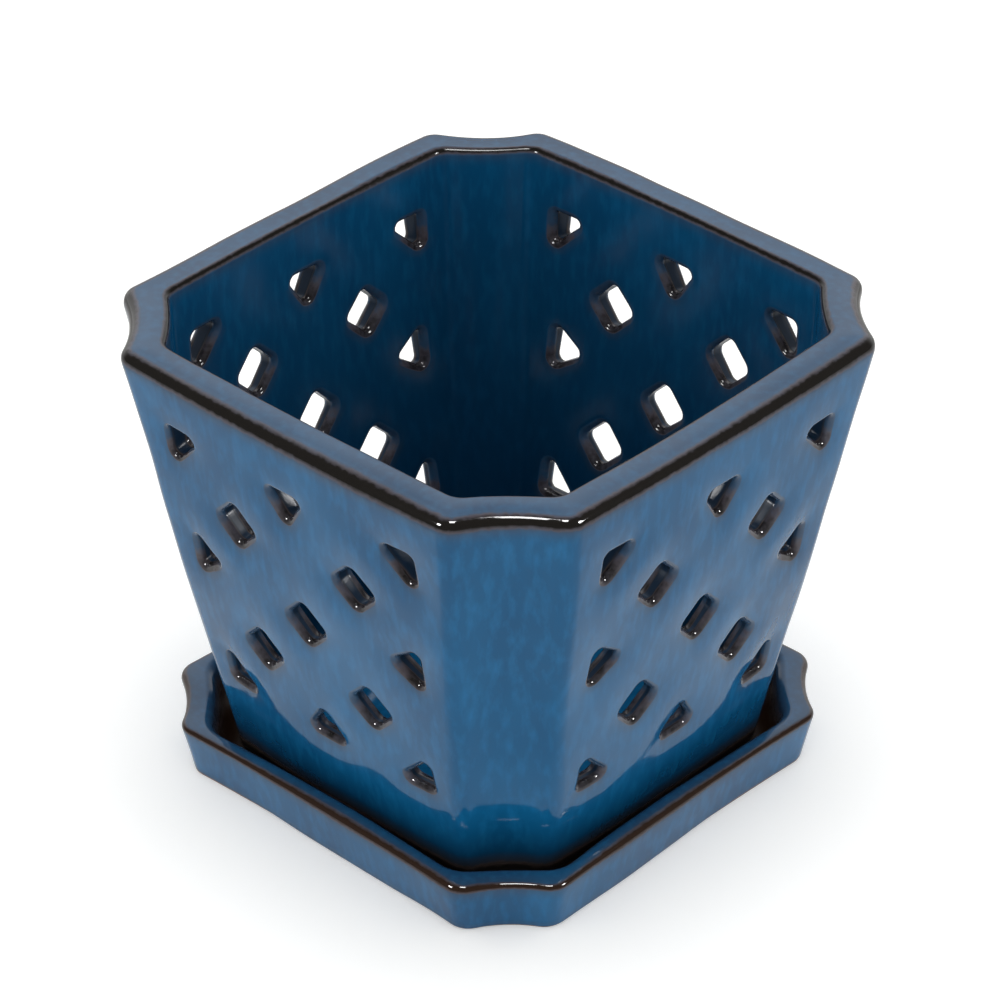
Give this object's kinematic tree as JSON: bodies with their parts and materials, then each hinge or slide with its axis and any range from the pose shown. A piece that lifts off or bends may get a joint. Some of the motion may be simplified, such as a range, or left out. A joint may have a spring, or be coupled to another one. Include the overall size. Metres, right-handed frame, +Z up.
{
  "type": "orchid pot with saucer",
  "caption": "Square, flared ceramic orchid pot with hollowed corners and a lattice of diamond slots in each side, standing in a matching low saucer.",
  "frame": {"origin": "centre of the saucer's underside, on the surface that it stands on", "axes": "+Z up along the pot's axis, +X and +Y square to two of its slotted sides"},
  "size_m": [0.1578, 0.1578, 0.134],
  "materials": {
    "pot_glaze": "glossy blue glaze, brown at the edges",
    "saucer_glaze": "glossy blue glaze, brown at the edges"
  },
  "bodies": {
    "saucer": {"saucer": "saucer_glaze"},
    "pot": {"pot": "pot_glaze"}
  },
  "joints": [
    {"name": "pot_lift", "type": "slide", "parent": "saucer", "child": "pot", "axis": [0, 0, 1], "range_m": [0, 0.08]}
  ]
}
